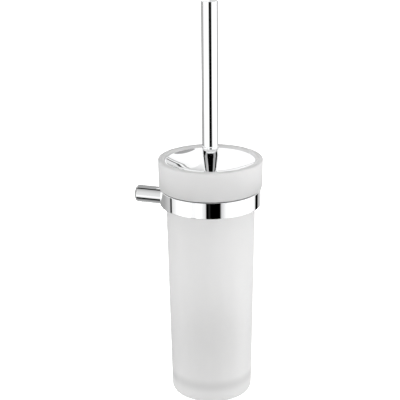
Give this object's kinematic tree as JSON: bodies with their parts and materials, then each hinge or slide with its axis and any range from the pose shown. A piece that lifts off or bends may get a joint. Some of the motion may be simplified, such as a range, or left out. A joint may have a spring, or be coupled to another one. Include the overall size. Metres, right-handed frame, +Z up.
{
  "type": "toilet brush holder",
  "caption": "Wall-mounted toilet brush holder: frosted glass tumbler in a plain ring on a round arm, with a lidded brush on a slim tube handle.",
  "frame": {"origin": "on the wall face, on the axis of the wall screw's hole and of the arm", "axes": "+Z up along the tumbler; +Y into the wall, so the holder stands out along -Y; +X to the right as seen facing the wall"},
  "size_m": [0.0961, 0.121, 0.3738],
  "materials": {
    "chrome": "polished chrome plate",
    "frosted_glass": "satin-etched, even and matt",
    "liner_plastic": "smooth moulded",
    "bumper_plastic": "soft moulded",
    "steel": "stainless, turned",
    "rod_steel": "stainless, polished",
    "black_steel": "blackened steel",
    "brass": "turned",
    "core_plastic": "smooth moulded",
    "bristles": "nylon filament"
  },
  "bodies": {
    "holder": {"wall_bush": "brass", "wall_arm": "chrome", "arm_screw": "steel", "holder_ring": "chrome", "ring_liner": "liner_plastic"},
    "grub": {"grub_screw": "black_steel"},
    "tumbler": {"tumbler": "frosted_glass"},
    "brush": {"handle_cap": "chrome", "handle_tube": "chrome", "tube_insert": "brass", "ferrule": "chrome", "lid": "chrome", "bumper_ring": "bumper_plastic", "lid_washer": "steel", "lid_nut": "steel", "brush_rod": "rod_steel"},
    "head": {"core_insert": "brass", "brush_core": "core_plastic", "tuft_row_1": "bristles", "tuft_row_2": "bristles", "tuft_row_3": "bristles", "tuft_row_4": "bristles", "tuft_row_5": "bristles", "tuft_row_6": "bristles", "tuft_row_7": "bristles", "end_tufts": "bristles"}
  },
  "joints": [
    {"name": "grub_turn", "type": "hinge", "parent": "holder", "child": "grub", "pos_m": [0, -0.006, 0], "axis": [0, 0, -1], "range_deg": [0, 720]},
    {"name": "tumbler_lift", "type": "slide", "parent": "holder", "child": "tumbler", "axis": [0, 0, 1], "range_m": [0, 0.215]},
    {"name": "brush_lift", "type": "slide", "parent": "tumbler", "child": "brush", "axis": [0, 0, 1], "range_m": [0, 0.225]},
    {"name": "head_unscrew", "type": "hinge", "parent": "brush", "child": "head", "pos_m": [0, -0.073, -0.1], "axis": [0, 0, -1], "range_deg": [0, 3600]}
  ]
}
